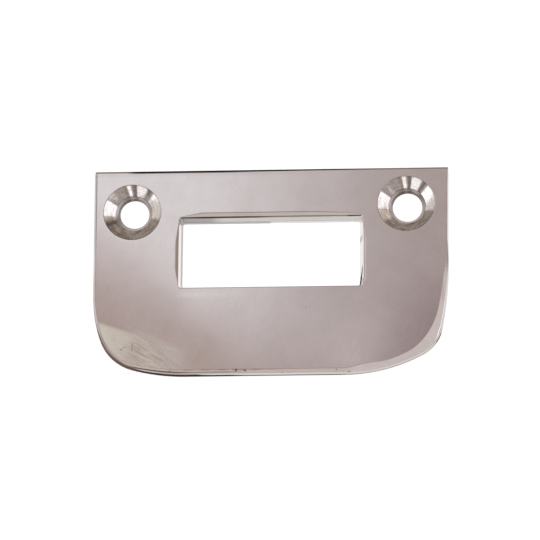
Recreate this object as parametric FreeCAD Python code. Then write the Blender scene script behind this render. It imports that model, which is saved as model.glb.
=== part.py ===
import FreeCAD, Part
import math
import os

# A cupboard lock's strike plate: one flat plate of polished metal, pierced and ground by hand.
# Millimetres. +X runs along the straight top edge, +Y towards it, and +Z out of the polished face.
# The origin is the middle of the flat back, so the plate lies on its back on z = 0.

# Plate
plate_width = 57.0
plate_height = 34.1
plate_thickness = 1.8

# Edge of the face: how far each side is eased inwards, and how far the easing falls
side_ease = 0.3
right_ease = 0.15
top_ease = 0.22
bottom_bevel = 0.58
bevel_drop = 0.25

# Lower left corner, three tangent arcs: side flank, tip and bottom flank. Turns in degrees
left_flank_radius = 24.5
left_flank_turn = 16.9
left_tip_radius = 7.7
left_base_radius = 32.0
left_base_turn = 15.5

# Lower right corner, ground further back than the left one
right_flank_radius = 60.0
right_flank_turn = 10.5
right_tip_radius = 6.1
right_base_radius = 26.0
right_base_turn = 28.8

# Wide bevel at the lower right: how its inner crease differs from the corner's own arcs
crease_flank_less = 10.0
crease_flank_turn_more = 4.5
crease_tip_more = 3.9
crease_base_less = 4.5
crease_base_turn_less = 0.8

# Two countersunk screw holes, drilled by eye: the left one sits lower than the right one
hole_from_side = 6.5
hole_shift = -0.2
hole_below_top = 6.6
hole_misalignment = 0.42
hole_radius = 2.35
countersink_radius = 4.7
countersink_depth = 1.3
hole_spacing = plate_width - 2 * hole_from_side

# Bolt slot between the countersinks, measured at the face. Its walls lean inwards to the back
slot_to_countersink = 2.55
slot_height = 11.6
slot_above_bottom = 14.45
slot_wall_lean = 0.5
slot_corner_radius = 0.4
slot_lip_radius = 0.35
slot_width = hole_spacing - 2 * (countersink_radius + slot_to_countersink)

# How far a cutting form stands clear of the plate
cut_clearance = 1.0


def three_centre_corner(radii, turns):
    """Points of a corner in its own quadrant, as start, middle and end of three tangent arcs.

    The first arc leaves the side heading down, and the last meets the bottom line. The corner's
    two lines are the axes, so the last point has no height and the first no distance inwards.
    """
    arcs = []
    heading = 0.0
    x = 0.0
    y = 0.0
    for radius, turn in zip(radii, turns):
        centre_x = x + radius * math.cos(heading)
        centre_y = y + radius * math.sin(heading)
        angles = [heading, heading + turn / 2, heading + turn]
        arcs.append([(centre_x - radius * math.cos(a), centre_y - radius * math.sin(a)) for a in angles])
        heading += turn
        x, y = arcs[-1][-1]
    return [[(px, py - y) for px, py in arc] for arc in arcs]


def corner_turns(flank_turn, base_turn):
    """The three turns of a corner in radians: the tip takes what the flanks leave of a right angle."""
    flank = math.radians(flank_turn)
    base = math.radians(base_turn)
    return [flank, math.pi / 2 - flank - base, base]


def outline(z, left_inset, right_inset, top_inset, bottom_inset, left_corner, right_corner):
    """Closed outline of the plate at height z: straight top and sides, and two ground lower corners."""
    left = -plate_width / 2 + left_inset
    right = plate_width / 2 - right_inset
    top = plate_height / 2 - top_inset
    bottom = -plate_height / 2 + bottom_inset
    left_arcs = [[FreeCAD.Vector(left + x, bottom + y, z) for x, y in arc] for arc in left_corner]
    right_arcs = [[FreeCAD.Vector(right - x, bottom + y, z) for x, y in arc] for arc in right_corner]
    top_left = FreeCAD.Vector(left, top, z)
    top_right = FreeCAD.Vector(right, top, z)
    edges = [Part.makeLine(top_left, left_arcs[0][0])]
    edges += [Part.Arc(*arc).toShape() for arc in left_arcs]
    edges.append(Part.makeLine(left_arcs[-1][-1], right_arcs[-1][-1]))
    edges += [Part.Arc(*reversed(arc)).toShape() for arc in reversed(right_arcs)]
    edges.append(Part.makeLine(right_arcs[0][0], top_right))
    edges.append(Part.makeLine(top_right, top_left))
    return Part.Wire(edges)


def plate_blank():
    """The plate before it is pierced: upright walls, then a bevel that widens round the lower right."""
    left_corner = three_centre_corner(
        [left_flank_radius, left_tip_radius, left_base_radius],
        corner_turns(left_flank_turn, left_base_turn),
    )
    right_corner = three_centre_corner(
        [right_flank_radius, right_tip_radius, right_base_radius],
        corner_turns(right_flank_turn, right_base_turn),
    )
    crease_corner = three_centre_corner(
        [
            right_flank_radius - crease_flank_less,
            right_tip_radius + crease_tip_more,
            right_base_radius - crease_base_less,
        ],
        corner_turns(right_flank_turn + crease_flank_turn_more, right_base_turn - crease_base_turn_less),
    )
    wall_top = plate_thickness - bevel_drop
    foot = outline(0.0, 0.0, 0.0, 0.0, 0.0, left_corner, right_corner)
    wall = Part.Face(foot).extrude(FreeCAD.Vector(0, 0, wall_top))
    shoulder = outline(wall_top, 0.0, 0.0, 0.0, 0.0, left_corner, right_corner)
    crease = outline(
        plate_thickness, side_ease, right_ease, top_ease, bottom_bevel, left_corner, crease_corner
    )
    bevel = Part.makeLoft([shoulder, crease], True, True)
    return wall.fuse(bevel).removeSplitter()


def rectangle(z, width, height, centre_y):
    """Closed rectangle at height z, centred on x = 0."""
    xs = (-width / 2, width / 2)
    ys = (centre_y - height / 2, centre_y + height / 2)
    corners = [(xs[0], ys[0]), (xs[1], ys[0]), (xs[1], ys[1]), (xs[0], ys[1])]
    points = [FreeCAD.Vector(x, y, z) for x, y in corners]
    return Part.makePolygon(points + points[:1])


def slot_form():
    """What the punch takes out: a block whose four sides lean inwards from the face to the back."""
    centre_y = slot_above_bottom + slot_height / 2 - plate_height / 2
    lean_rate = slot_wall_lean / plate_thickness

    def section(z):
        """The form's rectangle at height z, smaller towards the back."""
        lean = (plate_thickness - z) * lean_rate
        return rectangle(z, slot_width - 2 * lean, slot_height - 2 * lean, centre_y)

    block = Part.makeLoft([section(-cut_clearance), section(plate_thickness + cut_clearance)], True, True)
    upright = [e for e in block.Edges if abs(e.tangentAt(e.FirstParameter).z) > 0.5]
    return block.makeFillet(slot_corner_radius, upright)


def screw_hole_form(x, y):
    """A drill with its countersink: a cylinder for the short land, and a cone that opens to the face."""
    cone_start = plate_thickness - countersink_depth
    slope = (countersink_radius - hole_radius) / countersink_depth
    drill = Part.makeCylinder(
        hole_radius, plate_thickness + cut_clearance, FreeCAD.Vector(x, y, -cut_clearance)
    )
    cone = Part.makeCone(
        hole_radius,
        countersink_radius + slope * cut_clearance,
        countersink_depth + cut_clearance,
        FreeCAD.Vector(x, y, cone_start),
    )
    return drill.fuse(cone)


def lip_edges(shape):
    """The edges where the slot meets the face."""
    half_x = slot_width / 2 + slot_corner_radius
    half_y = slot_height / 2 + slot_corner_radius
    centre_y = slot_above_bottom + slot_height / 2 - plate_height / 2
    found = []
    for edge in shape.Edges:
        box = edge.BoundBox
        level = abs(box.ZMin - plate_thickness) < 1e-4 and abs(box.ZMax - plate_thickness) < 1e-4
        near_x = max(abs(box.XMin), abs(box.XMax)) < half_x
        near_y = max(abs(box.YMin - centre_y), abs(box.YMax - centre_y)) < half_y
        if level and near_x and near_y:
            found.append(edge)
    return found


def strike_plate():
    """The finished plate: blank, slot with its rolled lip, and two countersunk holes."""
    hole_y = plate_height / 2 - hole_below_top
    left_hole = (hole_shift - hole_spacing / 2, hole_y - hole_misalignment)
    right_hole = (hole_shift + hole_spacing / 2, hole_y + hole_misalignment)
    plate = plate_blank().cut(slot_form())
    plate = plate.makeFillet(slot_lip_radius, lip_edges(plate))
    for x, y in (left_hole, right_hole):
        plate = plate.cut(screw_hole_form(x, y))
    return plate


os.makedirs("parts", exist_ok=True)
shape = strike_plate()
shape.exportStep("parts/strike_plate.step")
print("strike_plate: valid", shape.isValid(), "solids", len(shape.Solids), "volume", round(shape.Volume, 2))
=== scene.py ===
import math
import bpy
import numpy as np
from mathutils import Matrix, Vector
from mathutils.geometry import delaunay_2d_cdt


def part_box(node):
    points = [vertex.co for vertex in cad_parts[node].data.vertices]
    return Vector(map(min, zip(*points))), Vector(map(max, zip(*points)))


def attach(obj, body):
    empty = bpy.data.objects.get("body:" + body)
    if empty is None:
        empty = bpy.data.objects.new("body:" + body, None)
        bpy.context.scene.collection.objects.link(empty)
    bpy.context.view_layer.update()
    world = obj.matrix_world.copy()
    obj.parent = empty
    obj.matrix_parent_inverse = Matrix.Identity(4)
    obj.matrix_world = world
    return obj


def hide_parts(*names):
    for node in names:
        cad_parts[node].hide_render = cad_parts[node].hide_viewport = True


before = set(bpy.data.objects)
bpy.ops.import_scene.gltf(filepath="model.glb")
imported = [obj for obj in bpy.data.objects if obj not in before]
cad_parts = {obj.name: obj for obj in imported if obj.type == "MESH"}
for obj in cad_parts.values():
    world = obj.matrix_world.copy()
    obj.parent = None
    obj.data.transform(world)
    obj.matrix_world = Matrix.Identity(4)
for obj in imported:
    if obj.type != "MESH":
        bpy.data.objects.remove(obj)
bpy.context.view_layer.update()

# A cupboard lock's strike plate, in millimetres. +X runs along its straight top edge, +Y towards it
# and +Z out of the polished face
MM = 0.001
plate_low, plate_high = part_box("strike_plate")
HALF_WIDTH = (plate_high.x - plate_low.x) / 2 / MM
HALF_HEIGHT = (plate_high.y - plate_low.y) / 2 / MM
THICKNESS = (plate_high.z - plate_low.z) / MM

# Outline: how far the face's crease lies inside the back's outline, and the ground lower corners
LEFT_EASE = 0.3
RIGHT_EASE = 0.15
TOP_EASE = 0.22
BOTTOM_BEVEL = 0.58
BEVEL_DROP = 0.03
BEVEL_SLOPE = 0.245
LEFT_LEAN = 0.08
TOP_CORNER_RADIUS = 0.25
LEFT_CORNER = ((24.5, 7.7, 32.0), (16.9, 57.6, 15.5))
RIGHT_CORNER = ((60.0, 6.1, 26.0), (10.5, 50.7, 28.8))
CREASE_CORNER = ((50.0, 10.0, 21.5), (15.0, 47.0, 28.0))

# Slot at the face, and how its walls lean
SLOT_WIDTH = 29.5
SLOT_HEIGHT = 11.84
SLOT_BOTTOM = 14.35 - HALF_HEIGHT
SLOT_LEAN = 0.5
TOP_LEAN = 1.28
SLOT_CORNER_RADIUS = 0.35
LIP_SLOPE = 0.19

# Screw holes. Each row is a ring from the back up: radius, height, and the ring's own centre,
# because the countersinks were turned a little off the drilled holes
HOLE_LEFT = ((2.32, 0.0, -22.09, 10.23), (2.32, 0.07, -22.09, 10.23), (2.93, 0.78, -22.17, 10.2),
             (4.65, 1.8, -22.36, 10.12))
HOLE_RIGHT = ((2.36, 0.0, 21.85, 10.82), (2.36, 0.08, 21.85, 10.82), (2.95, 0.8, 21.82, 10.87),
              (4.62, 1.8, 21.74, 11.0))

# How far each countersink's cone bulges halfway up, below zero for a hollow one
LEFT_BULGE = 0.02
RIGHT_BULGE = -0.012

# The bit's turning rings in the cones, coarser than the real ones, which are too fine to show
RING_PITCH = 0.37
RING_HEIGHT = 0.0007

# How the face departs from flat: crown, corner rubbed down by the wheel, waves and trough
CROWN = 0.02
RUBBED_SLOPE = 0.03
RUBBED_REACH = 1.6
WAVE = 0.0015
TROUGH = 0.0016

# Spacing of the points on the face and the back, and how far each edge's strip reaches on to them
FACE_SPACING = 0.3
BACK_SPACING = 1.5
MARGIN = 0.3

# Material slots of the mesh
FACE, WALL, CONE, BACK = range(4)


def smoothstep(low, high, x):
    """0 below low, 1 above high, and a smooth rise in between."""
    t = np.clip((np.asarray(x, float) - low) / (high - low), 0, 1)
    return t * t * (3 - 2 * t)


def hump(x, middle, spread):
    """1 at the middle and falling on both sides as exp(-(distance / spread) ** 2)."""
    return np.exp(-((x - middle) / spread) ** 2)


def corner_arcs(radii, turns, counts):
    """Three tangent arcs in a corner's own quadrant, from its side line down to its bottom line.

    A point on an arc is its centre minus the radius times (cos, sin) of the heading, and each arc
    begins where the last one ended.
    """
    heading = 0.0
    at = np.zeros(2)
    rows = []
    for radius, turn, count in zip(radii, turns, counts):
        inward = np.array([math.cos(heading), math.sin(heading)])
        centre = at + radius * inward
        angles = heading + math.radians(turn) * np.arange(count) / count
        rows.append(centre - radius * np.stack([np.cos(angles), np.sin(angles)], 1))
        heading += math.radians(turn)
        at = centre - radius * np.array([math.cos(heading), math.sin(heading)])
    points = np.vstack([*rows, at[None]])
    points[:, 1] -= at[1]
    return points


def straight(start, end, count):
    """Evenly spaced points from start, without end."""
    t = np.arange(count)[:, None] / count
    return np.asarray(start) * (1 - t) + np.asarray(end) * t


def outer_outline(left_inset, right_inset, top_inset, bottom_inset, left_corner, right_corner):
    """The plate's outline, round the plate with the metal on the left-hand side.

    Every call gives the same number of points on each stretch, so two outlines pair up: straight
    sides, corner_arcs at the lower corners and quarter circles at the upper ones.
    """
    left = -HALF_WIDTH + left_inset
    right = HALF_WIDTH - right_inset
    top = HALF_HEIGHT - top_inset
    bottom = -HALF_HEIGHT + bottom_inset
    lower_left = corner_arcs(*left_corner, (40, 80, 40)) + (left + LEFT_LEAN, bottom)
    lower_right = (corner_arcs(*right_corner, (50, 80, 60)) * (-1, 1) + (right, bottom))[::-1]
    radius = TOP_CORNER_RADIUS - min(top_inset, left_inset) * 0.5
    sweep = np.radians(np.linspace(0, 90, 9))[:, None]
    rounding = np.hstack([np.cos(sweep), np.sin(sweep)])
    top_right = np.array([right - radius, top - radius]) + radius * rounding
    top_left = (np.array([left + radius, top - radius]) + radius * rounding * (-1, 1))[::-1]
    return np.vstack([
        straight(top_left[-1], lower_left[0], 80),
        lower_left[:-1],
        straight(lower_left[-1], lower_right[0], 240),
        lower_right[:-1],
        straight(lower_right[-1], top_right[0], 60),
        top_right[:-1],
        straight(top_right[-1], top_left[0], 180),
        top_left[:-1],
    ])


def slot_outline(inset, radius):
    """The slot's outline, clockwise so that the metal is on the left-hand side.

    It is four quarter circles joined by straight sides. inset is how far it lies inside the slot's
    face opening, below zero for further out. The right side, where a dark reflection is painted as a
    sliver, has finer points than the left.
    """
    half = SLOT_WIDTH / 2 - inset
    low = SLOT_BOTTOM + inset
    high = SLOT_BOTTOM + SLOT_HEIGHT - inset * TOP_LEAN
    angles = np.radians(np.linspace(180, 90, 9))[:, None]
    arc = radius * np.hstack([np.cos(angles), np.sin(angles)])
    turn = np.array([[0, 1], [-1, 0]])
    centres = [(-half + radius, high - radius), (half - radius, high - radius),
               (half - radius, low + radius), (-half + radius, low + radius)]
    corners = []
    for centre in centres:
        corners.append(arc + centre)
        arc = arc @ turn.T
    counts = (110, 110, 110, 44)
    rows = []
    for i, count in enumerate(counts):
        rows.append(corners[i][:-1])
        rows.append(straight(corners[i][-1], corners[(i + 1) % 4][0], count))
    return np.vstack(rows)


def rounded_profile(corners, before, after, steps):
    """A profile with its inner corners rounded, at every place of a path at once.

    corners is (path, corner, 3). Each inner corner becomes a parabola that leaves its two straight
    sides by the distances before and after, in the given number of steps, or stays when that is 1.
    """
    ahead = np.diff(corners, axis=1)
    ahead /= np.linalg.norm(ahead, axis=2, keepdims=True)
    rows = [corners[:, 0]]
    for k, count in enumerate(steps, 1):
        if count == 1:
            rows.append(corners[:, k])
            continue
        start = corners[:, k] - ahead[:, k - 1] * before[k - 1][:, None]
        end = corners[:, k] + ahead[:, k] * after[k - 1][:, None]
        for t in np.linspace(0, 1, count):
            rows.append((1 - t) ** 2 * start + 2 * t * (1 - t) * corners[:, k] + t * t * end)
    rows.append(corners[:, -1])
    return np.stack(rows, 1)


def strip_normals(points):
    """Normals of a closed strip: the step along the path crossed with the step up the profile."""
    along = np.roll(points, -1, axis=0) - np.roll(points, 1, axis=0)
    normals = np.cross(along, np.gradient(points, axis=1))
    return normals / np.linalg.norm(normals, axis=2, keepdims=True)


def lifted(path, z):
    """A flat path at a height, which is one number or one for each point."""
    return np.column_stack([path, np.broadcast_to(z, len(path))])


def height_change(x, y):
    """How far the buffed face lies under its highest level, in millimetres.

    A slight crown, the lower left corner rubbed down by the wheel, long low waves and a shallow
    trough under the slot. The rubbing's slope grows as 1 - exp(-distance) past a border that curves
    down to the right.
    """
    crown = -CROWN * ((x / HALF_WIDTH) ** 2 + (y / HALF_HEIGHT) ** 2) / 2
    border = -8.3 - 0.34 * (x + 27.4) - 0.055 * np.clip(x + 19.9, 0, 12) ** 2
    beyond = np.clip(border - y + 0.3, 0, None)
    fading = 1 - 0.92 * smoothstep(-21, -17, x)
    corner = -RUBBED_SLOPE * (beyond - RUBBED_REACH * (1 - np.exp(-beyond / RUBBED_REACH))) * fading
    waves = WAVE * (np.sin(x / 3.1 + y / 5.3 + 0.4) + np.sin(x / 5.7 - y / 3.7 + 1.9) - 2)
    trough = -TROUGH * hump(y, SLOT_BOTTOM - 0.9, 0.45) * smoothstep(-15.5, -13, x) * smoothstep(-2, -9, x)
    return crown + corner + waves + trough


def buffed(points, normals):
    """Lowers the face by height_change, in full at the face and not at all at the back.

    The normals turn with its slopes, which are central differences.
    """
    x, y, z = points[..., 0], points[..., 1], points[..., 2]
    step = 0.01
    share = np.clip(z / THICKNESS, 0, 1)
    low = height_change(x, y)
    slope_x = (height_change(x + step, y) - height_change(x - step, y)) / (2 * step)
    slope_y = (height_change(x, y + step) - height_change(x, y - step)) / (2 * step)
    moved = points.copy()
    moved[..., 2] = z + low * share
    lift = normals[..., 2] / (1 + low / THICKNESS)
    turned = np.stack([
        normals[..., 0] - share * slope_x * lift,
        normals[..., 1] - share * slope_y * lift,
        lift,
    ], -1)
    return moved, turned / np.linalg.norm(turned, axis=-1, keepdims=True)


def strip_faces(rings, rows, first):
    """Quads of a closed strip, numbered from first. Point = ring * rows + row."""
    ring, row = np.meshgrid(np.arange(rings), np.arange(rows - 1), indexing="ij")
    nxt = (ring + 1) % rings
    quads = np.stack([ring * rows + row, nxt * rows + row, nxt * rows + row + 1, ring * rows + row + 1], -1)
    return quads.reshape(-1, 4) + first


def inside(points, loop):
    """Which points lie inside a closed loop, by counting the edges that a ray to the right crosses."""
    x, y = points[:, :1], points[:, 1:]
    x0, y0 = loop[:, 0], loop[:, 1]
    x1, y1 = np.roll(x0, -1), np.roll(y0, -1)
    spans = (y0 > y) != (y1 > y)
    height = np.where(y1 == y0, 1e-12, y1 - y0)
    crosses = spans & (x < x0 + (y - y0) / height * (x1 - x0))
    return crosses.sum(1) % 2 == 1


def near(points, loop, distance):
    """Which points lie within a distance of a loop's points, in 40 lots to spare memory."""
    found = np.zeros(len(points), bool)
    for part in np.array_split(np.arange(len(points)), 40):
        gap = points[part, None] - loop[None]
        found[part] = ((gap ** 2).sum(2) < distance ** 2).any(1)
    return found


def sheet_between(outer, holes, spacing):
    """Triangles between an outer loop and the holes' loops, on a staggered grid of points.

    The grid's rows are 0.866 of the spacing apart, so that its triangles are nearly equilateral.
    """
    rows = np.arange(outer[:, 1].min(), outer[:, 1].max(), spacing * 0.866)
    grid = []
    for k, y in enumerate(rows):
        xs = np.arange(outer[:, 0].min() + (k % 2) * spacing / 2, outer[:, 0].max(), spacing)
        grid.append(np.stack([xs, np.full(len(xs), y)], 1))
    grid = np.vstack(grid)
    keep = inside(grid, outer) & ~near(grid, outer, spacing * 0.6)
    for hole in holes:
        keep &= ~inside(grid, hole) & ~near(grid, hole, spacing * 0.6)
    loops = [outer, *holes]
    points = np.vstack([*loops, grid[keep]])
    edges = []
    first = 0
    for loop in loops:
        n = len(loop)
        edges += [(first + i, first + (i + 1) % n) for i in range(n)]
        first += n
    made = delaunay_2d_cdt([Vector(p) for p in points], edges, [], 0, 1e-7)
    spots = np.array([v[:] for v in made[0]])
    faces = np.array([f for f in made[2] if len(f) == 3])
    middles = spots[faces].mean(1)
    good = inside(middles, outer)
    for hole in holes:
        good &= ~inside(middles, hole)
    return spots, faces[good]


def add_node(tree, kind, settings=(), links=()):
    """Adds a node, sets its properties and sockets, and links its inputs."""
    node = tree.nodes.new(kind)
    for name, value in dict(settings).items():
        if isinstance(name, str) and hasattr(node, name):
            setattr(node, name, value)
        else:
            node.inputs[name].default_value = value
    for name, socket in dict(links).items():
        tree.links.new(socket, node.inputs[name])
    return node


def soft_share(tree, place, middle, half, soft, turn):
    """How far each point of a flat plan lies in a soft-edged box, from 0 to 1.

    Along each of the box's own axes it is 1 inside half - soft, 0 outside half + soft, and smooth
    between.
    """
    box = {"Location": (*middle, 0), "Rotation": (0, 0, math.radians(turn))}
    moved = add_node(tree, "ShaderNodeMapping", {"vector_type": "TEXTURE", **box}, {"Vector": place})
    size = add_node(tree, "ShaderNodeVectorMath", {"operation": "ABSOLUTE"}, {0: moved.outputs[0]})
    axes = add_node(tree, "ShaderNodeSeparateXYZ", links={0: size.outputs[0]})
    share = []
    for k in (0, 1):
        edge = {"From Min": half[k] + soft[k], "From Max": half[k] - soft[k]}
        ramp = add_node(tree, "ShaderNodeMapRange", {"interpolation_type": "SMOOTHSTEP", **edge},
                        {"Value": axes.outputs[k]})
        share.append(ramp.outputs[0])
    return add_node(tree, "ShaderNodeMath", {"operation": "MULTIPLY"}, {0: share[0], 1: share[1]}).outputs[0]


def soft_box(tree, place, below, middle, half, soft, turn, colour):
    """Lays a soft-edged box of colour over the colour below, and returns the colour of both."""
    share = soft_share(tree, place, middle, half, soft, turn)
    both = add_node(tree, "ShaderNodeMix", {"data_type": "RGBA", 7: (*colour, 1.0)}, {0: share, 6: below})
    return both.outputs[2]


def streaks(tree, place, turn, length, width):
    """Noise drawn out in one direction, its grains about this long and this wide in millimetres."""
    grain = {"Rotation": (0, 0, math.radians(turn)), "Scale": (length, width, 1.0)}
    drawn = add_node(tree, "ShaderNodeMapping", {"vector_type": "TEXTURE", **grain}, {"Vector": place})
    noise = add_node(tree, "ShaderNodeTexNoise", {"Scale": 1.0, "Detail": 3.0}, {"Vector": drawn.outputs[0]})
    return noise.outputs[0]


def linear(hex_colour):
    """An sRGB hex colour as linear RGBA."""
    srgb = np.array([int(hex_colour[i:i + 2], 16) for i in (0, 2, 4)]) / 255
    values = np.where(srgb <= 0.04045, srgb / 12.92, ((srgb + 0.055) / 1.055) ** 2.4)
    return (*values.tolist(), 1.0)


# Colours of the plate
NICKEL = linear("ebe4e1")
NICKEL_DULL = linear("d9cfca")
WALL_BRIGHT = linear("f6f4f3")
# The brown and the black below also paint shade: a contact shadow and dark reflections along the edges, and
# shade in the screw holes' chamfers.
BRASS_AND_SHADE_BROWN = linear("8a6a55")
STREAK_BROWN = linear("96806f")
GRIME_AND_SHADE_BLACK = linear("1c1a18")
SOAP_AND_SHADE_BROWN = linear("b1978f")
BACK_NICKEL = linear("c9c0b6")
BACK_DULL = linear("b3a79b")

# Brightest that a mottled countersink may be
CONE_BRIGHTEST = (0.95, 0.93, 0.92)

# How much grime and painted shade begin to turn a wall from metal to matt soap and painted shadow,
# and from where it is matt alone
SOAP_AND_SHADE_FROM = 0.58
SOAP_AND_SHADE_TO = 0.76


def start_material(name):
    """A new material with its node tree, its shader and its Object coordinates in millimetres.

    On these coordinates a noise's scale is how many of its grains go to a millimetre.
    """
    material = bpy.data.materials.new(name)
    material.use_nodes = True
    tree = material.node_tree
    tree.nodes.clear()
    shader = add_node(tree, "ShaderNodeBsdfPrincipled", {"Metallic": 1.0})
    add_node(tree, "ShaderNodeOutputMaterial", links={"Surface": shader.outputs[0]})
    coordinates = add_node(tree, "ShaderNodeTexCoord")
    scaled = add_node(tree, "ShaderNodeVectorMath", {"operation": "SCALE", "Scale": 1 / MM},
                      {0: coordinates.outputs["Object"]})
    return material, tree, shader, scaled.outputs[0]


def stained_and_shaded(tree, colour, patchy=None):
    """Lays brown wear and painted shade, thinned by a pattern if there is one, then black soap and painted
    shade over a colour.
    """
    worn = add_node(tree, "ShaderNodeAttribute", {"attribute_name": "worn"}).outputs["Fac"]
    grime_and_shade = add_node(tree, "ShaderNodeAttribute", {"attribute_name": "grime_and_shade"})
    if patchy:
        thinning = add_node(tree, "ShaderNodeMath", {"operation": "MULTIPLY_ADD", 1: 1.3, 2: 0.35},
                            {0: patchy})
        worn = add_node(tree, "ShaderNodeMath", {"operation": "MULTIPLY", "use_clamp": True},
                        {0: worn, 1: thinning.outputs[0]}).outputs[0]
    brown = add_node(tree, "ShaderNodeMix", {"data_type": "RGBA", 7: BRASS_AND_SHADE_BROWN}, {0: worn, 6: colour})
    black = add_node(tree, "ShaderNodeMix", {"data_type": "RGBA", 7: GRIME_AND_SHADE_BLACK},
                     {0: grime_and_shade.outputs["Fac"], 6: brown.outputs[2]})
    return black.outputs[2]


# Small marks on the face: middle in millimetres, half length and half width, turn, depth of colour
MARKS = [
    ((-23.75, -12.9), (0.20, 0.17), 20, 0.4),
    ((-23.2, -12.5), (0.15, 0.15), 0, 0.35),
    ((-23.5, -12.7), (0.45, 0.08), 40, 0.25),
    ((-24.2, -12.7), (0.12, 0.08), -20, 0.25),
    ((-22.0, -12.45), (0.09, 0.75), -4, 0.35),
    ((-25.0, -11.2), (0.30, 0.06), -10, 0.25),
    ((5.75, -6.2), (0.11, 0.09), 0, 0.35),
    ((6.45, -6.1), (0.09, 0.11), 0, 0.3),
    ((5.4, -4.9), (0.07, 0.07), 0, 0.15),
    ((-5.3, -16.55), (0.16, 0.24), -15, 0.7),
    ((-5.75, -16.5), (0.16, 0.08), 0, 0.5),
    ((-3.9, -16.6), (0.26, 0.13), -12, 0.65),
    ((-4.7, -16.75), (0.45, 0.05), 0, 0.3),
    ((2.1, -17.0), (0.20, 0.08), 0, 0.35),
    ((10.7, -16.65), (0.12, 0.12), 0, 0.45),
    ((12.7, -17.0), (0.16, 0.12), 0, 0.7),
    ((-15.9, -16.55), (0.25, 0.08), 0, 0.4),
]


# The scraped patch at the lower left: middle, half size, softness and turn, and its streaks' turn
SCRAPED_PATCH = ((-18.8, -14.0), (4.3, 2.1), (2.6, 1.4), -24)
STREAK_TURN = -29


def buffed_nickel():
    """Nickel plate buffed on a wheel: near mirror, with fine lines, a faint haze and a few marks.

    At its lower left the wheel has left streaks that run to the lower right. Real buffing lines are a
    few hundredths of a millimetre wide, too fine to show, so all these are drawn coarser.
    """
    material, tree, shader, place = start_material("buffed_nickel")
    haze = add_node(tree, "ShaderNodeTexNoise", {"Scale": 0.25, "Detail": 3.0}, {"Vector": place})
    tone = add_node(tree, "ShaderNodeMapRange", {"From Min": 0.35, "From Max": 0.7, "To Max": 0.4},
                    {"Value": haze.outputs[0]})
    colour = add_node(tree, "ShaderNodeMix", {"data_type": "RGBA", 6: NICKEL, 7: NICKEL_DULL},
                      {0: tone.outputs[0]})
    grain = add_node(tree, "ShaderNodeTexNoise", {"Scale": 4.5, "Detail": 2.0}, {"Vector": place})
    speck = add_node(tree, "ShaderNodeMapRange",
                     {"From Min": 0.3, "From Max": 0.7, "To Min": 0.965, "To Max": 1.035},
                     {"Value": grain.outputs[0]})
    grained = add_node(tree, "ShaderNodeVectorMath", {"operation": "SCALE"},
                       {0: colour.outputs[2], "Scale": speck.outputs[0]})
    scraped = soft_share(tree, place, *SCRAPED_PATCH)
    fine = add_node(tree, "ShaderNodeMapRange", {"From Min": 0.44, "From Max": 0.6},
                    {"Value": streaks(tree, place, STREAK_TURN, 2.4, 0.16)})
    scratch = add_node(tree, "ShaderNodeMath", {"operation": "MULTIPLY"}, {0: scraped, 1: fine.outputs[0]})
    brown = add_node(tree, "ShaderNodeMath", {"operation": "MULTIPLY", 1: 0.22}, {0: scratch.outputs[0]})
    streaked = add_node(tree, "ShaderNodeMix", {"data_type": "RGBA", 7: STREAK_BROWN},
                        {0: brown.outputs[0], 6: grained.outputs[0]})
    marked = streaked.outputs[2]
    for middle, half, turn, depth in MARKS:
        shade = [channel * (1 - depth) for channel in NICKEL[:3]]
        marked = soft_box(tree, place, marked, middle, half, (0.05, 0.05), turn, shade)
    tree.links.new(stained_and_shaded(tree, marked), shader.inputs["Base Color"])
    rough = add_node(tree, "ShaderNodeMapRange",
                     {"From Min": 0.3, "From Max": 0.7, "To Min": 0.055, "To Max": 0.065},
                     {"Value": streaks(tree, place, 70, 4.0, 0.3)})
    hazed = add_node(tree, "ShaderNodeMath", {"operation": "MULTIPLY_ADD", 1: 0.05},
                     {0: scraped, 2: rough.outputs[0]})
    dulled = add_node(tree, "ShaderNodeMath", {"operation": "MULTIPLY_ADD", 1: 0.07},
                      {0: scratch.outputs[0], 2: hazed.outputs[0]})
    tree.links.new(dulled.outputs[0], shader.inputs["Roughness"])
    lines = add_node(tree, "ShaderNodeMath", {"operation": "MULTIPLY"},
                     {0: scraped, 1: streaks(tree, place, STREAK_TURN, 3.0, 0.3)})
    relief = add_node(tree, "ShaderNodeBump", {"Strength": 1.0, "Distance": 0.006 * MM},
                      {"Height": lines.outputs[0]})
    tree.links.new(relief.outputs[0], shader.inputs["Normal"])
    return material


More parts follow.
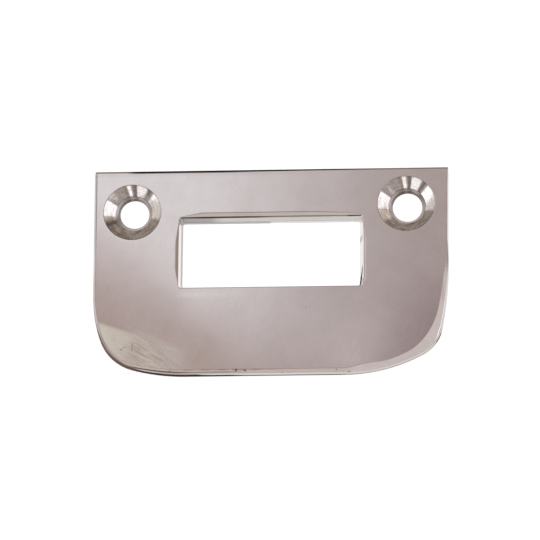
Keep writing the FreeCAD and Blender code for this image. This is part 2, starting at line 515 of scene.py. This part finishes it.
def punched_nickel():
    """Walls as the punch left them, plated but not buffed: bright above, dull where they broke out.

    Where grime and painted shade are thick they are black, matt and dark at any angle: dried polishing
    soap, and the painted contact shadow and dark reflections along the edges.
    """
    material, tree, shader, place = start_material("punched_nickel")
    patches = add_node(tree, "ShaderNodeTexNoise", {"Scale": 1.5, "Detail": 4.0}, {"Vector": place})
    tone = add_node(tree, "ShaderNodeMix", {"data_type": "RGBA", 6: WALL_BRIGHT, 7: NICKEL},
                    {0: patches.outputs[0]})
    worn = add_node(tree, "ShaderNodeAttribute", {"attribute_name": "worn"}).outputs["Fac"]
    grime_and_shade = add_node(tree, "ShaderNodeAttribute", {"attribute_name": "grime_and_shade"}).outputs["Fac"]
    # Thick grime and painted shade turn the wall matt black and brown: dried soap, and the painted contact
    # shadow and dark reflections along the edges.
    metal_share = add_node(tree, "ShaderNodeMapRange",
                    {"interpolation_type": "SMOOTHSTEP", "From Min": SOAP_AND_SHADE_TO, "From Max": SOAP_AND_SHADE_FROM},
                    {"Value": grime_and_shade})
    dark_patch = add_node(tree, "ShaderNodeMix", {"data_type": "RGBA", 6: GRIME_AND_SHADE_BLACK, 7: SOAP_AND_SHADE_BROWN}, {0: worn})
    colour = add_node(tree, "ShaderNodeMix", {"data_type": "RGBA"},
                      {0: metal_share.outputs[0], 6: dark_patch.outputs[2], 7: stained_and_shaded(tree, tone.outputs[2])})
    tree.links.new(colour.outputs[2], shader.inputs["Base Color"])
    tree.links.new(metal_share.outputs[0], shader.inputs["Metallic"])
    rough = add_node(tree, "ShaderNodeMapRange", {"To Min": 0.8, "To Max": 0.28}, {"Value": metal_share.outputs[0]})
    tree.links.new(rough.outputs[0], shader.inputs["Roughness"])
    shader.inputs["Specular IOR Level"].default_value = 0.0
    return material


def turned_nickel():
    """Countersinks: cut with a turning bit and then plated, bright with duller arcs from the bit.

    The real arcs are too fine to show, and are drawn a few tenths of a millimetre wide.
    """
    material, tree, shader, place = start_material("turned_nickel")
    turned = add_node(tree, "ShaderNodeAttribute", {"attribute_name": "turning"})
    arcs = add_node(tree, "ShaderNodeTexNoise", {"Scale": 1.0, "Detail": 4.0},
                    {"Vector": turned.outputs["Vector"]})
    tone = add_node(tree, "ShaderNodeMapRange", {"From Min": 0.42, "From Max": 0.68},
                    {"Value": arcs.outputs[0]})
    colour = add_node(tree, "ShaderNodeMix", {"data_type": "RGBA", 6: NICKEL, 7: NICKEL_DULL},
                      {0: tone.outputs[0]})
    mottle = add_node(tree, "ShaderNodeTexNoise", {"Scale": 3.2, "Detail": 2.0}, {"Vector": place})
    speck = add_node(tree, "ShaderNodeMapRange",
                     {"From Min": 0.3, "From Max": 0.7, "To Min": 0.82, "To Max": 1.16},
                     {"Value": mottle.outputs[0]})
    mottled = add_node(tree, "ShaderNodeVectorMath", {"operation": "SCALE"},
                       {0: stained_and_shaded(tree, colour.outputs[2], tone.outputs[0]), "Scale": speck.outputs[0]})
    bounded = add_node(tree, "ShaderNodeVectorMath", {"operation": "MINIMUM", 1: CONE_BRIGHTEST},
                       {0: mottled.outputs[0]})
    tree.links.new(bounded.outputs[0], shader.inputs["Base Color"])
    rough = add_node(tree, "ShaderNodeMapRange",
                     {"From Min": 0.4, "From Max": 0.7, "To Min": 0.05, "To Max": 0.13},
                     {"Value": arcs.outputs[0]})
    tree.links.new(rough.outputs[0], shader.inputs["Roughness"])
    return material


def back_nickel():
    """The back, plated but not buffed: satin with the sheet's rolling lines, drawn coarser to show."""
    material, tree, shader, place = start_material("back_nickel")
    haze = add_node(tree, "ShaderNodeTexNoise", {"Scale": 0.3, "Detail": 4.0}, {"Vector": place})
    colour = add_node(tree, "ShaderNodeMix", {"data_type": "RGBA", 6: BACK_NICKEL, 7: BACK_DULL},
                      {0: haze.outputs[0]})
    tree.links.new(colour.outputs[2], shader.inputs["Base Color"])
    shader.inputs["Roughness"].default_value = 0.42
    bump = add_node(tree, "ShaderNodeBump", {"Strength": 0.3, "Distance": 0.03 * MM},
                    {"Height": streaks(tree, place, 0, 4.0, 0.08)})
    tree.links.new(bump.outputs[0], shader.inputs["Normal"])
    return material


def outer_strip():
    """The plate's edge: back rim, wall, shoulder, bevel and crease, carried round the outline.

    The bevel falls in proportion to its width. It was ground by hand: at the lower right the crease
    swings in on the side and rises along the bottom, the bevel is narrower at both lower corners,
    and low on the right side the shoulder is ground in too, over a wall that leans out to the back's
    outline.
    """
    foot = outer_outline(0, 0, 0, 0, LEFT_CORNER, RIGHT_CORNER)
    crease = outer_outline(LEFT_EASE, RIGHT_EASE, TOP_EASE, BOTTOM_BEVEL, LEFT_CORNER, CREASE_CORNER)
    x, y = foot.T
    crease[:, 0] -= 0.22 * hump(y, -4.5, 3) * (x > 20)
    crease[:, 1] += 0.45 * smoothstep(12, 16.5, x) * smoothstep(22.2, 16.5, x) * (y < -8)
    narrow = 1 - 0.35 * hump(x, -22.8, 2.6) * (y < -8)
    narrow -= 0.07 * hump(x, 25.0, 2) * smoothstep(-7.5, -9.5, y)
    crease = foot + (crease - foot) * narrow[:, None]
    width = np.linalg.norm(crease - foot, axis=1)
    into = (crease - foot) / width[:, None]
    along = np.roll(foot, -1, axis=0) - np.roll(foot, 1, axis=0)
    along /= np.linalg.norm(along, axis=1, keepdims=True)
    gap = along[:, 0] * (crease - foot)[:, 1] - along[:, 1] * (crease - foot)[:, 0]
    drop = BEVEL_DROP + BEVEL_SLOPE * gap
    slope_length = np.hypot(width, drop)
    ground = (x > 20) * smoothstep(3, -3, y) * smoothstep(-13, -10, y)
    inset = np.minimum(0.3 + 0.12 * hump(y, -5, 3), width * 0.42) * ground
    shoulder = lifted(foot + into * inset[:, None], THICKNESS - drop)
    top = lifted(crease, THICKNESS)
    corners = np.stack([
        lifted(foot + into * MARGIN, 0),
        *[lifted(foot, z) for z in (0, 0.25, 0.5, 0.75, 1.0)],
        shoulder,
        *[shoulder * (1 - t) + top * t for t in (0.26, 0.36, 0.48, 0.58)],
        top,
        lifted(crease + into * 0.14, THICKNESS),
        lifted(crease + into * MARGIN, THICKNESS),
    ], 1)
    rim = np.full(len(foot), 0.05)
    soft = 0.04 + 0.21 * ground
    bend = np.minimum(0.14, slope_length * 0.35)
    plain = [None] * 4
    before = (rim, *plain, soft, *plain, bend, None)
    after = (rim, *plain, np.minimum(soft, slope_length * 0.24), *plain, np.minimum(bend, 0.12), None)
    points = rounded_profile(corners, before, after, (5, 1, 1, 1, 1, 7, 1, 1, 1, 1, 7, 1))
    return points, [WALL] * 13 + [FACE] * (points.shape[1] - 14)


def slot_strip():
    """The slot's edge: back rim, wall as the punch left it, and the lip that buffing wore down.

    The wall runs straight from the foot to the lip. The worn lip is widest along the top and dies out
    at the corners.
    """
    foot = slot_outline(SLOT_LEAN, SLOT_CORNER_RADIUS)
    lip = slot_outline(0.0, SLOT_CORNER_RADIUS)
    outward = slot_outline(-1.0, SLOT_CORNER_RADIUS + 1.0) - lip
    outward /= np.linalg.norm(outward, axis=1, keepdims=True)
    x, y = lip.T
    from_low = y - SLOT_BOTTOM
    from_high = SLOT_HEIGHT - from_low
    upper = np.clip((x + 14.7) / 3.6, 0, 1) * np.clip((14.7 - x) / 2.4, 0, 1)
    upper = upper * (1 - 0.3 * smoothstep(6, 12, x))
    left_side = 0.55 * smoothstep(0.0, 5.0, from_high) * smoothstep(0.0, 3.5, from_low)
    right_side = 0.45 * smoothstep(0.0, 5.0, from_high) * smoothstep(0.3, 1.2, from_low)
    sides = np.where(x < 0, left_side, right_side)
    share = np.where(from_high < 0.5, upper, sides)
    share = np.where(from_low < 0.5, 0.06, share)
    worn = 0.06 + 0.62 * share
    low = lifted(foot, 0)
    high = lifted(lip, THICKNESS)
    edge = lifted(lip, THICKNESS - LIP_SLOPE * worn)
    corners = np.stack([
        lifted(foot + outward * MARGIN, 0),
        low,
        *[low * (1 - t) + high * t for t in (0.16, 0.34, 0.38, 0.5, 0.64)],
        low * 0.18 + edge * 0.82,
        edge,
        lifted(lip + outward * worn[:, None], THICKNESS),
        lifted(lip + outward * (0.8 + MARGIN), THICKNESS),
    ], 1)
    rim = np.full(len(foot), 0.04)
    bend = 0.02 + 0.12 * share
    fading = np.where(np.abs(x) > SLOT_WIDTH / 2 - 0.2, 0.5, 0.1)
    plain = [None] * 6
    before = (rim, *plain, 0.06 + 0.06 * share, bend)
    after = (rim, *plain, bend, 0.02 + fading * share)
    points = rounded_profile(corners, before, after, (4, 1, 1, 1, 1, 1, 1, 9, 6))
    return points, [WALL] * 12 + [FACE] * (points.shape[1] - 13)


def hole_strip(rings, bulge):
    """A screw hole: back rim, drilled wall, the chamfer the bit's tip cut, cone and rim.

    Row by row it is a circle: centre + radius (cos, sin), clockwise. The cone bulges by a half sine
    along its slope, and the turning rings lie in it as a sine of the radius.
    """
    angles = math.pi - np.linspace(0, 2 * math.pi, 180, endpoint=False)
    circle = np.stack([np.cos(angles), np.sin(angles)], 1)

    def ring(radius, z, x, y):
        return lifted(np.array([x, y]) + radius * circle, z)

    back, land, edge, rim = np.array(rings)
    cone = []
    for t in np.linspace(0, 1, 30)[1:-1]:
        radius, z, x, y = edge * (1 - t) + rim * t
        swell = bulge * math.sin(math.pi * t)
        turned = RING_HEIGHT * math.sin(2 * math.pi * radius / RING_PITCH)
        cone.append(ring(radius, z + swell + turned, x, y))
    corners = np.stack([
        ring(back[0] + MARGIN, *back[1:]),
        ring(*back),
        ring(*land),
        *[ring(*(land * (1 - t) + edge * t)) for t in (0.44, 0.56)],
        ring(*edge),
        *cone,
        ring(*rim),
        ring(rim[0] + MARGIN, *rim[1:]),
    ], 1)
    small = np.full(len(circle), 0.03)
    plain = [None] * len(cone)
    before = (small, small * 0.5, None, None, small * 2, *plain, small)
    after = (small, small * 2, None, None, small, *plain, small * 2.5)
    points = rounded_profile(corners, before, after, (3, 4, 1, 1, 4, *[1] * len(cone), 5))
    return points, [WALL] * 11 + [CONE] * (points.shape[1] - 14) + [FACE] * 2


def from_hole(points):
    """Each point as seen from the middle of the countersink on its own half of the plate."""
    middle = np.where(points[:, :1] < 0, HOLE_LEFT[-1][2:], HOLE_RIGHT[-1][2:])
    arm = points[:, :2] - middle
    return arm, np.linalg.norm(arm, axis=1)


# Rows of the strips, counted up from the back, for the stains and painted shade below.
# Outer edge: wall to 9, shoulder 10 to 16, bevel 17 to 20, crease 21 to 27.
# Slot: back rim to 4, wall 5 to 10, lip 11 to 19, the lip's crease 20 to 25.
# Screw hole: back rim to 3, land 4 to 7, chamfer 8 and 9, its edge 10 to 13, cone 14 to 41, rim above


def between(row, first, last):
    """Which points lie in a stretch of rows, with both its ends."""
    return (row >= first) & (row <= last)


def edge_stains_and_shade(x, y, z, row):
    """How black and how brown the plate's own edge is, as sums of bands along it.

    Black lies along the top, up the left side and in the lower left corner. At the foot of the front
    wall a black and brown band is a painted contact shadow. Brown also lies on the same edges, with
    painted shade on the lower right wall and painted dark reflections as thin lines along the bevel.
    """
    from_top = HALF_HEIGHT - y
    reach = 0.36 - 0.008 * np.clip(x + 8, 0, 15)
    top = smoothstep(reach + 0.05, reach - 0.05, from_top) * (z > 1.2) * smoothstep(-23.6, -21.5, x)

    # Painted contact shadow: a black and brown band low on the front wall, where the plate meets the table.
    reach = (0.95 + 0.55 * hump(x, -17.5, 4)) * (1 - 0.4 * smoothstep(-12, 0, x))
    foot = smoothstep(reach + 0.12, reach - 0.12, z) * smoothstep(0.0, 0.12, z) * smoothstep(-11, -12, y)
    foot_shadow = foot * smoothstep(-24, -20.5, x) * smoothstep(16, 10, x)
    foot_shadow = foot_shadow * (1 - 0.55 * smoothstep(-9, -3, x))
    wall = (row <= 13) & (y < HALF_HEIGHT - 1)
    # Painted shade: the lower right wall is laid a little brown.
    lower_right = (row <= 10) * (y < -10) * smoothstep(7, 13, x)
    nick = (row <= 8) * (x > 20) * hump(y, -11.2, 1.0)

    corner = (row <= 16) * smoothstep(-18.5, -21, x) * smoothstep(-20, -22.5, x) * smoothstep(-5, -9, y)
    # Painted dark reflections: thin brown and black lines along the bevel and the crease at the bottom.
    bevel_reflection = between(row, 18, 19) * smoothstep(-12, -14, y) * smoothstep(-4, -7, x) * smoothstep(-23, -20, x)
    deep_bevel_reflection = between(row, 17, 19) * smoothstep(-12, -16, x) * smoothstep(-8, -11, y)
    crease_reflection = between(row, 23, 25) * smoothstep(-17, -13, x) * smoothstep(3, -3, x) * (y < -12)
    crease_reflection = crease_reflection * (0.65 + 0.35 * np.sin(2.3 * x))
    left = between(row, 6, 25) * (x < -24) * smoothstep(-13, -10, y) * (y < HALF_HEIGHT - 0.5)
    right = smoothstep(HALF_WIDTH - 0.3, HALF_WIDTH - 0.2, x) * (y > 2)

    grime_and_shade = top * (0.78 - 0.74 * smoothstep(9, 14, x)) + foot_shadow + 0.3 * wall + 0.6 * nick
    grime_and_shade = grime_and_shade + left * (0.3 + 0.15 * smoothstep(0, 6, y)) + 0.12 * right + 0.5 * corner
    grime_and_shade = grime_and_shade + 0.22 * deep_bevel_reflection * smoothstep(-25, -20, x) + 0.15 * crease_reflection
    worn = top * (0.7 - 0.65 * smoothstep(12, 20, x)) + foot * (0.36 + 0.14 * smoothstep(-9, -3, x))
    worn = worn + left * (0.15 + 0.3 * smoothstep(4, -2, y)) + 0.65 * corner + 0.12 * lower_right
    worn = worn + 0.85 * bevel_reflection + 0.6 * deep_bevel_reflection + 0.6 * crease_reflection + 0.4 * nick
    return grime_and_shade, worn


def slot_stains_and_shade(x, y, z, row):
    """How black and how brown the slot's edge is.

    The punch left the back of the side walls dull, and the top wall grey, partly its dull finish and
    partly painted shade. The black along the upper lip and a sliver low on the right wall are painted
    dark reflections.
    """
    middle = SLOT_BOTTOM + SLOT_HEIGHT / 2
    from_end = SLOT_HEIGHT / 2 - np.abs(y - middle)
    side_wall = (from_end > 0.5) & (row <= 11)
    top_wall = ~side_wall & (y > middle) & (row <= 11)
    tarnished = smoothstep(-7.5, -10.3, x)
    # Painted dark reflection: black and brown along the upper lip.
    lip = between(row, 11, 17) * (y > middle + 5) * (np.abs(x) < SLOT_WIDTH / 2 - 0.2)
    left_lip = between(row, 12, 21) * (x < -14.5) * smoothstep(0.5, 3, from_end)
    spot = side_wall * (x > 14) * (np.abs(y - 5.4) < 0.5)
    # Painted dark reflection: a black sliver low on the right wall.
    height = 1.72 + 0.5 * np.minimum(y - 0.2, 0)
    reach = 0.3 + 0.35 * smoothstep(0, -2, y)
    sliver_reflection = (x > 13.9) * (row <= 16) * smoothstep(reach + 0.14, reach - 0.14, np.abs(z - height))
    sliver_reflection = sliver_reflection * smoothstep(1.2, 0.2, y) * (y > SLOT_BOTTOM + 0.03)

    # The top wall's grey is partly its dull punched finish and partly painted shade.
    grime_and_shade = top_wall * (0.33 + 0.18 * tarnished + 0.12 * (row <= 6))
    grime_and_shade = grime_and_shade + side_wall * (row <= 7) * (0.15 + 0.35 * (x < 0))
    grime_and_shade = grime_and_shade + lip * (0.85 - 0.55 * smoothstep(-5, 1, x) + 0.5 * smoothstep(12, 13, x))
    grime_and_shade = grime_and_shade + 0.9 * sliver_reflection + 0.45 * spot + 0.06 * left_lip
    worn = 0.3 * lip + 0.15 * top_wall * tarnished + 0.1 * left_lip
    return grime_and_shade, worn


def hole_stains_and_shade(points, row):
    """How black and how brown the screw holes are.

    The chamfer is dark all round, and painted shade lays it darker and browner on its lower and right
    side. The lower part of each cone is worn brown, and soap has dried at the left of the left one.
    """
    arm, radius = from_hole(points)
    right, up = arm.T / np.maximum(radius, 1e-6)
    heading = np.degrees(np.arctan2(up, right)) % 360
    left_hole = points[:, 0] < 0
    # Painted shade: the chamfer's lower and right side is laid darker and browner.
    shaded = np.maximum(smoothstep(-0.3, 0.5, 0.77 * right - 0.64 * up), smoothstep(-0.1, 0.4, -up))
    chamfer = between(row, 4, 13)
    chamfer_low = between(row, 3, 8) * (1 - shaded)
    chamfer_edge = between(row, 12, 14) * (1 - shaded)
    cone = between(row, 14, 41)
    rim = between(row, 41, 44)
    lower_cone = cone * smoothstep(1.0, -2.2, arm[:, 1] + 0.3 * arm[:, 0])
    dark_patch = cone * left_hole * hump(heading, 206, 13)
    dulled = cone * ~left_hole * smoothstep(125, 165, heading) * smoothstep(215, 195, heading)

    grime_and_shade = 0.38 * shaded * chamfer + 0.5 * chamfer_low + 0.35 * chamfer_edge + 0.2 * rim
    grime_and_shade = grime_and_shade + 0.85 * dark_patch + 0.04 * dulled + 0.08 * lower_cone * ~left_hole
    worn = (0.04 + 0.48 * shaded) * chamfer + 0.3 * rim + 0.33 * lower_cone
    return grime_and_shade, worn


def stains_and_shade(points, strip, row):
    """How black and how brown each point is, with polishing soap, worn plating and painted shade.

    strip is 0 on the outer edge, 1 on the slot's, 2 and 3 on the holes' and -1 on the flat sheets,
    and row counts a strip's rows up from the back. A faint smear lies under the top edge.
    """
    x, y, z = points.T
    smear = 0.09 * smoothstep(1.2, 0.6, HALF_HEIGHT - y) * smoothstep(14, -5, x)
    edge_black, edge_brown = edge_stains_and_shade(x, y, z, row)
    slot_black, slot_brown = slot_stains_and_shade(x, y, z, row)
    hole_black, hole_brown = hole_stains_and_shade(points, row)
    grime_and_shade = smear + (strip == 0) * edge_black + (strip == 1) * slot_black + (strip >= 2) * hole_black
    worn = (strip == 0) * edge_brown + (strip == 1) * slot_brown + (strip >= 2) * hole_brown
    return np.clip(grime_and_shade, 0, 1), np.clip(worn, 0, 1)


def turning(points):
    """Place round the countersink for the bit's arcs: the radius drawn fine, the angle coarse."""
    arm, radius = from_hole(points)
    return np.column_stack([radius * 3.2, 2.2 * arm / np.maximum(radius, 1e-6)[:, None]])


def without_faults(faces, slots, merged):
    """Faces and their slots after welding, without repeated corners, lines or doubled faces."""
    kept, kept_slots, known = [], [], set()
    for face, slot in zip(faces, slots):
        corners = list(dict.fromkeys(merged[i] for i in face))
        if len(corners) > 2 and frozenset(corners) not in known:
            known.add(frozenset(corners))
            kept.append(corners)
            kept_slots.append(slot)
    return kept, kept_slots


def strike_plate():
    """The whole plate as one closed mesh: four strips, the face and the back, welded."""
    strips = [
        outer_strip(),
        slot_strip(),
        hole_strip(HOLE_LEFT, LEFT_BULGE),
        hole_strip(HOLE_RIGHT, RIGHT_BULGE),
    ]
    all_points, all_normals, all_faces, all_slots, all_rows = [], [], [], [], []
    first = 0
    for number, (points, row_slots) in enumerate(strips):
        rings, rows = points.shape[:2]
        all_points.append(points.reshape(-1, 3))
        all_normals.append(strip_normals(points).reshape(-1, 3))
        all_faces += strip_faces(rings, rows, first).tolist()
        all_slots += row_slots * rings
        all_rows.append(np.column_stack([np.full(rings * rows, number), np.tile(np.arange(rows), rings)]))
        first += rings * rows
    face = (-1, THICKNESS, 1, FACE_SPACING, FACE)
    back = (0, 0.0, -1, BACK_SPACING, BACK)
    for end, z, up, spacing, slot in (face, back):
        loops = [points[:, end, :2] for points, row_slots in strips]
        spots, faces = sheet_between(loops[0], loops[1:], spacing)
        all_points.append(lifted(spots, z))
        all_normals.append(np.tile((0.0, 0.0, up), (len(spots), 1)))
        all_faces += (faces[:, ::up] + first).tolist()
        all_slots += [slot] * len(faces)
        all_rows.append(np.full((len(spots), 2), -1))
        first += len(spots)

    # Points that agree to a ten thousandth of a millimetre are one
    points = np.vstack(all_points)
    keys = np.round(points * 1e4).astype(np.int64)
    chosen, merged = np.unique(keys, axis=0, return_index=True, return_inverse=True)[1:]
    faces, slots = without_faults(all_faces, all_slots, merged.ravel().tolist())
    points = points[chosen]
    grime_and_shade, worn = stains_and_shade(points, *np.vstack(all_rows)[chosen].T)
    turned = turning(points)
    points, normals = buffed(points, np.vstack(all_normals)[chosen])

    mesh = bpy.data.meshes.new("strike_plate_look")
    mesh.from_pydata((points * MM).tolist(), [], faces)
    mesh.update(calc_edges=True)
    for material in (buffed_nickel(), punched_nickel(), turned_nickel(), back_nickel()):
        mesh.materials.append(material)
    mesh.polygons.foreach_set("material_index", slots)
    mesh.polygons.foreach_set("use_smooth", [True] * len(faces))
    for name, values in (("grime_and_shade", grime_and_shade), ("worn", worn)):
        mesh.attributes.new(name, "FLOAT", "POINT").data.foreach_set("value", values.astype(np.float32))
    arcs = mesh.attributes.new("turning", "FLOAT_VECTOR", "POINT")
    arcs.data.foreach_set("vector", turned.astype(np.float32).ravel())
    mesh.normals_split_custom_set_from_vertices(normals.tolist())
    return bpy.data.objects.new("strike_plate_look", mesh)


plate = strike_plate()
bpy.context.scene.collection.objects.link(plate)
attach(plate, "root")
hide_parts("strike_plate")


def direction(azimuth, elevation):
    """Unit vector at an azimuth from the front (-Y) towards +X and an elevation, in degrees."""
    a, e = math.radians(azimuth), math.radians(elevation)
    return np.array([math.sin(a) * math.cos(e), -math.cos(a) * math.cos(e), math.sin(e)])


# The studio's ceiling, one unit above the plate, seen from this elevation up. Each soft box is its
# middle, half size, softness, turn in degrees and colour, and lies over those before it
CEILING_STARTS = 60.0
CEILING_COLOUR = (0.47, 0.42, 0.42)
CEILING = [
    ((-0.15, -0.10), (0.27, 0.33), (0.05, 0.03), 0, (0.62, 0.58, 0.56)),
    ((-0.08, 0.235), (0.12, 0.030), (0.04, 0.012), 0, (0.36, 0.31, 0.28)),
    ((-0.48, 0.26), (0.404, 0.125), (0.026, 0.025), 0, (0.865, 0.87, 0.91)),
    ((-0.020, 0.221), (0.048, 0.093), (0.018, 0.011), 0, (0.28, 0.22, 0.24)),
    ((-0.147, 0.224), (0.20, 0.10), (0.05, 0.009), -34.5, (0.405, 0.307, 0.287)),
    ((-0.0617, 0.301), (0.006, 0.006), (0.004, 0.014), 0, (0.88, 0.84, 0.84)),
    ((-0.249, 0.262), (0.151, 0.034), (0.018, 0.012), 0, (0.70, 0.68, 0.615)),
    ((0.45, -0.10), (0.42, 0.38), (0.06, 0.04), 0, (0.68, 0.64, 0.63)),
    ((-0.10, -0.58), (0.36, 0.22), (0.08, 0.05), 0, (0.62, 0.59, 0.57)),
    ((0.18, 0.36), (0.20, 0.10), (0.05, 0.03), 0, (0.40, 0.33, 0.30)),
    ((-0.08, 1.10), (0.35, 0.50), (0.10, 0.06), 0, (0.24, 0.205, 0.185)),
]

# Its walls, up to this elevation. Their boxes are placed by azimuth and elevation in degrees: from
# the front (-Y) towards +X for the first list, and from the back (+Y) towards -X for the second
WALLS_END = 52.0
WALLS_COLOUR = (0.42, 0.38, 0.36)
FRONT = [
    ((0, 23), (40, 15), (10, 3), 0, (0.19, 0.165, 0.145)),
    ((0, 0), (60, 8), (10, 2), 0, (0.75, 0.73, 0.70)),
    ((-98, 13), (29, 14), (4, 3), 0, (0.72, 0.70, 0.67)),
    ((-94, 40), (25, 13), (3, 4), 0, (1.45, 1.50, 1.55)),
    ((102, 34), (19.5, 17), (2, 3), 0, (1.45, 1.50, 1.55)),
    ((-58, 46), (4.5, 14), (2.5, 4), 0, (0.22, 0.20, 0.18)),
    ((-35.5, 48), (14.5, 14), (2, 4), 0, (1.12, 1.14, 1.16)),
    ((-13.5, 50), (6, 14), (2, 4), 0, (0.23, 0.20, 0.18)),
    ((4, 52), (6, 12), (2, 4), 0, (1.25, 1.25, 1.25)),
    ((17, 52), (6, 12), (2, 4), 0, (0.33, 0.29, 0.26)),
]
BACK_WALL = [
    ((0, 21), (55, 23), (4, 4), 0, (0.25, 0.215, 0.185)),
    ((20, 6), (38, 11), (4, 3), 0, (0.37, 0.34, 0.30)),
    ((-27, 20), (9, 18), (5, 4), 0, (0.42, 0.365, 0.32)),
    ((-46, 24), (12, 18), (4, 3), 0, (0.85, 0.79, 0.72)),
]


def make_world():
    """A studio of soft boxes round the plate. To the camera itself all is white.

    A direction (x, y, z) meets the ceiling at (x, y) / z, and the walls at its azimuth and elevation.
    """
    world = bpy.data.worlds.new("studio")
    bpy.context.scene.world = world
    world.use_nodes = True
    tree = world.node_tree
    tree.nodes.clear()
    coordinates = add_node(tree, "ShaderNodeTexCoord")
    looking = add_node(tree, "ShaderNodeSeparateXYZ", links={0: coordinates.outputs["Generated"]})
    x, y, z = looking.outputs
    above = add_node(tree, "ShaderNodeMath", {"operation": "MAXIMUM", 1: 0.05}, {0: z})
    plan_x = add_node(tree, "ShaderNodeMath", {"operation": "DIVIDE"}, {0: x, 1: above.outputs[0]})
    plan_y = add_node(tree, "ShaderNodeMath", {"operation": "DIVIDE"}, {0: y, 1: above.outputs[0]})
    plan = add_node(tree, "ShaderNodeCombineXYZ", links={0: plan_x.outputs[0], 1: plan_y.outputs[0]})
    rise = add_node(tree, "ShaderNodeMath", {"operation": "ARCSINE"}, {0: z})
    elevation = add_node(tree, "ShaderNodeMath", {"operation": "DEGREES"}, {0: rise.outputs[0]})
    minus_x = add_node(tree, "ShaderNodeMath", {"operation": "MULTIPLY", 1: -1.0}, {0: x})
    minus_y = add_node(tree, "ShaderNodeMath", {"operation": "MULTIPLY", 1: -1.0}, {0: y})
    views = []
    for side, ahead in ((x, minus_y.outputs[0]), (minus_x.outputs[0], y)):
        angle = add_node(tree, "ShaderNodeMath", {"operation": "ARCTAN2"}, {0: side, 1: ahead})
        azimuth = add_node(tree, "ShaderNodeMath", {"operation": "DEGREES"}, {0: angle.outputs[0]})
        views.append(add_node(tree, "ShaderNodeCombineXYZ",
                              links={0: azimuth.outputs[0], 1: elevation.outputs[0]}))
    height = add_node(tree, "ShaderNodeMapRange",
                      {"interpolation_type": "SMOOTHSTEP", "From Min": WALLS_END, "From Max": CEILING_STARTS},
                      {"Value": elevation.outputs[0]})
    room = add_node(tree, "ShaderNodeMix",
                    {"data_type": "RGBA", 6: (*WALLS_COLOUR, 1), 7: (*CEILING_COLOUR, 1)},
                    {0: height.outputs[0]})
    colour = room.outputs[2]
    for place, boxes in ((plan, CEILING), (views[0], FRONT), (views[1], BACK_WALL)):
        for box in boxes:
            colour = soft_box(tree, place.outputs[0], colour, *box)
    path = add_node(tree, "ShaderNodeLightPath")
    seen = add_node(tree, "ShaderNodeMix", {"data_type": "RGBA", 7: (1, 1, 1, 1)},
                    {0: path.outputs["Is Camera Ray"], 6: colour})
    background = add_node(tree, "ShaderNodeBackground", links={"Color": seen.outputs[2]})
    add_node(tree, "ShaderNodeOutputWorld", links={"Surface": background.outputs[0]})


# The table top, in metres
FLOOR_HALF = 5.0
FLOOR_LEVEL = -0.02 * MM


def make_floor():
    """A white table top that the camera and the metal see as white, with a soft shadow.

    It lies a little under the plate's back, so that the two don't touch.
    """
    half, level = FLOOR_HALF, FLOOR_LEVEL
    corners = [(-half, -half, level), (half, -half, level), (half, half, level), (-half, half, level)]
    mesh = bpy.data.meshes.new("floor")
    mesh.from_pydata(corners, [], [(0, 1, 2, 3)])
    floor = bpy.data.objects.new("floor", mesh)
    bpy.context.scene.collection.objects.link(floor)
    material = bpy.data.materials.new("white_table")
    material.use_nodes = True
    tree = material.node_tree
    tree.nodes.clear()
    path = add_node(tree, "ShaderNodeLightPath")
    direct = add_node(tree, "ShaderNodeMath", {"operation": "ADD", "use_clamp": True},
                      {0: path.outputs["Is Camera Ray"], 1: path.outputs["Is Glossy Ray"]})
    seen = add_node(tree, "ShaderNodeMath", {"operation": "ADD", "use_clamp": True},
                    {0: direct.outputs[0], 1: path.outputs["Is Transmission Ray"]})
    glow = add_node(tree, "ShaderNodeMath", {"operation": "MULTIPLY", 1: 0.9}, {0: seen.outputs[0]})
    shine = add_node(tree, "ShaderNodeEmission", {"Color": (1, 1, 1, 1)}, {"Strength": glow.outputs[0]})
    matt = add_node(tree, "ShaderNodeBsdfDiffuse", {"Color": (0.3, 0.3, 0.3, 1)})
    both = add_node(tree, "ShaderNodeAddShader", links={0: shine.outputs[0], 1: matt.outputs[0]})
    add_node(tree, "ShaderNodeOutputMaterial", links={"Surface": both.outputs[0]})
    mesh.materials.append(material)


# The camera looks down on the plate from its lower side, a little from the right. Angles are in
# degrees, its distance and target in millimetres, and its focal length in pixels of the photograph
CAMERA_TILT = 18.22
CAMERA_AZIMUTH = 14.0
CAMERA_ROLL = -14.09
CAMERA_DISTANCE = 881.3
CAMERA_TARGET = (-0.19, 0.655, 0.0)
SENSOR_WIDTH = 36.0
FOCAL_PIXELS = 5500.0
PHOTO_PIXELS = 540.0


def make_camera():
    """A long lens at the photograph's angle."""
    data = bpy.data.cameras.new("camera")
    data.sensor_width = SENSOR_WIDTH
    data.lens = FOCAL_PIXELS / PHOTO_PIXELS * SENSOR_WIDTH
    data.clip_start, data.clip_end = 0.01, 20.0
    camera = bpy.data.objects.new("camera", data)
    bpy.context.scene.collection.objects.link(camera)
    back = direction(CAMERA_AZIMUTH, 90 - CAMERA_TILT)
    level = np.cross((0, 0, 1.0), back)
    level /= np.linalg.norm(level)
    upright = np.cross(back, level)
    roll = math.radians(CAMERA_ROLL)
    right = math.cos(roll) * level + math.sin(roll) * upright
    top = -math.sin(roll) * level + math.cos(roll) * upright
    where = (np.array(CAMERA_TARGET) + back * CAMERA_DISTANCE) * MM
    turned = np.eye(4)
    turned[:3, 0], turned[:3, 1], turned[:3, 2], turned[:3, 3] = right, top, back, where
    camera.matrix_world = Matrix(turned.tolist())
    bpy.context.scene.camera = camera


make_world()
make_floor()
make_camera()
bpy.context.scene.view_settings.view_transform = "Standard"
